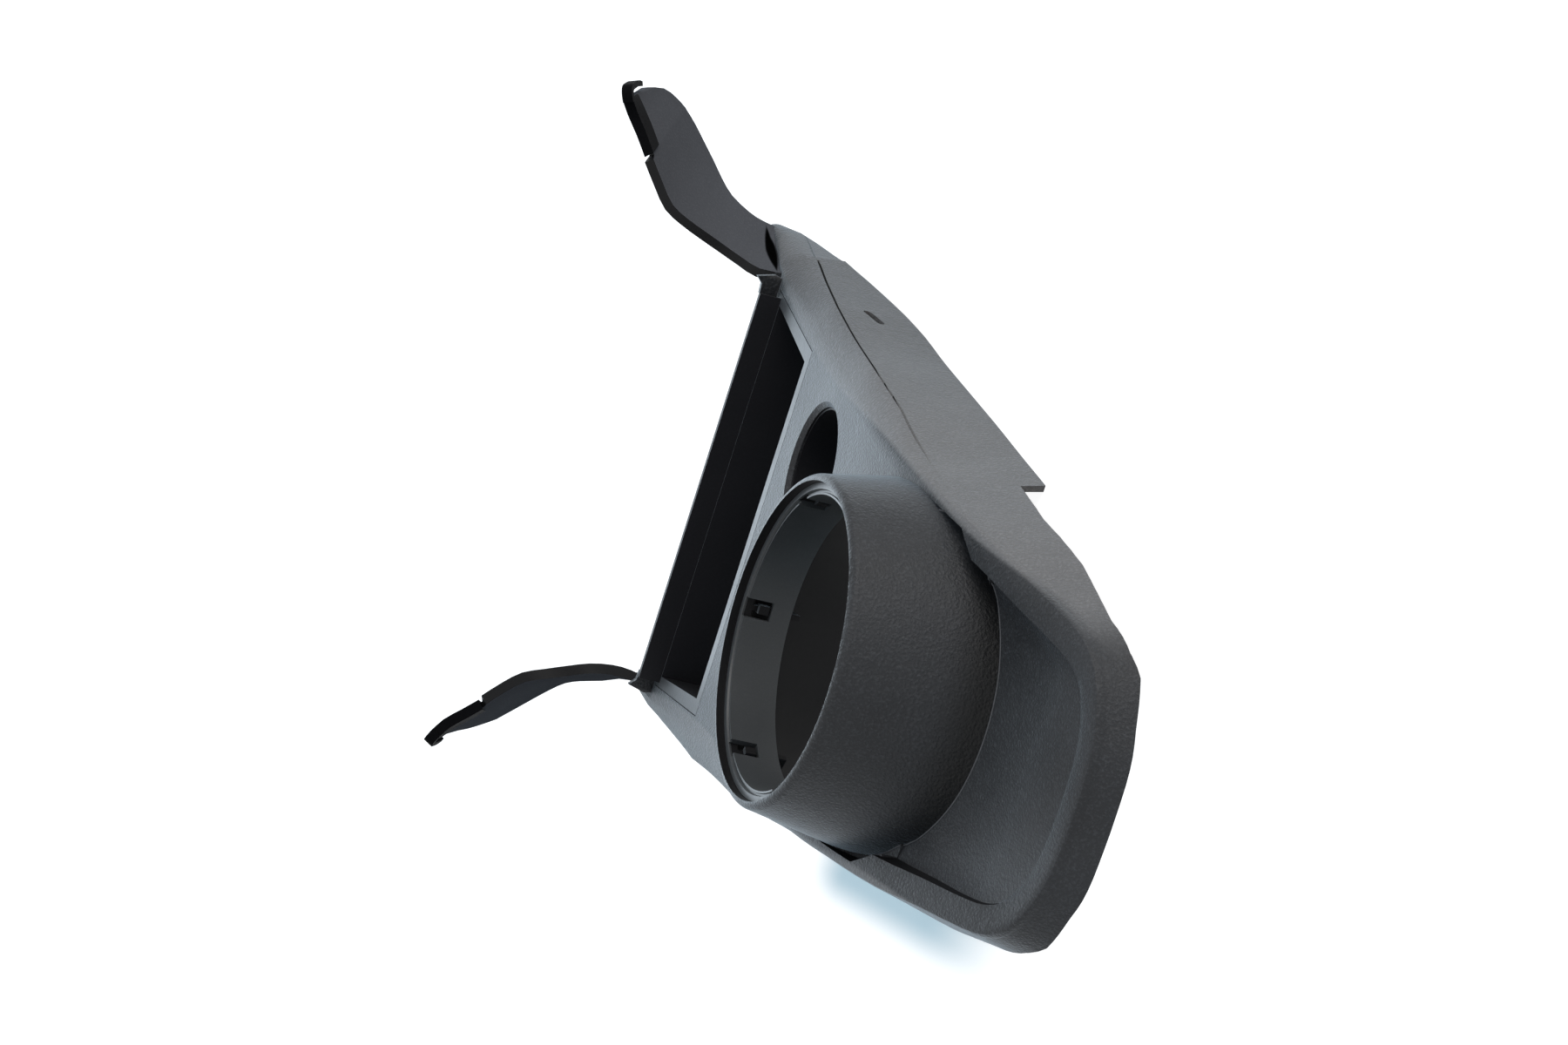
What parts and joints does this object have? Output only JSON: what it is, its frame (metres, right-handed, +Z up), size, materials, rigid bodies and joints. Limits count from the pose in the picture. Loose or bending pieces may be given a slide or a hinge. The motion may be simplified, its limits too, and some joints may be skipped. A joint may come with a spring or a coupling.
{
  "type": "center console",
  "caption": "Front centre console cover: flared shell with a round collar for a shifter or boot, storage tray, twin cup wells and two fixing arms.",
  "frame": {"origin": "centre of the part's bounding box in plan, at the plane its skirts stand on", "axes": "+X to the rear of the car along the length, +Y across to the car's right side, +Z up; the shape is mirrored about Y = 0"},
  "size_m": [0.5044, 0.3412, 0.1319],
  "materials": {
    "grained_shell": "dark grey moulded plastic with a fine leather grain",
    "black_tray": "black smooth moulding",
    "black_cups": "black smooth moulding",
    "ring_plastic": "dark grey satin plastic",
    "black_strip": "black plastic edge strip",
    "screw_steel": "zinc plated steel"
  },
  "bodies": {
    "root": {"console_shell": "grained_shell", "storage_tray": "black_tray", "cup_insert": "black_cups", "gaiter_ring": "ring_plastic", "arm_strip_right": "black_strip", "arm_strip_left": "black_strip", "cup_insert_screws": "screw_steel"}
  },
  "joints": []
}
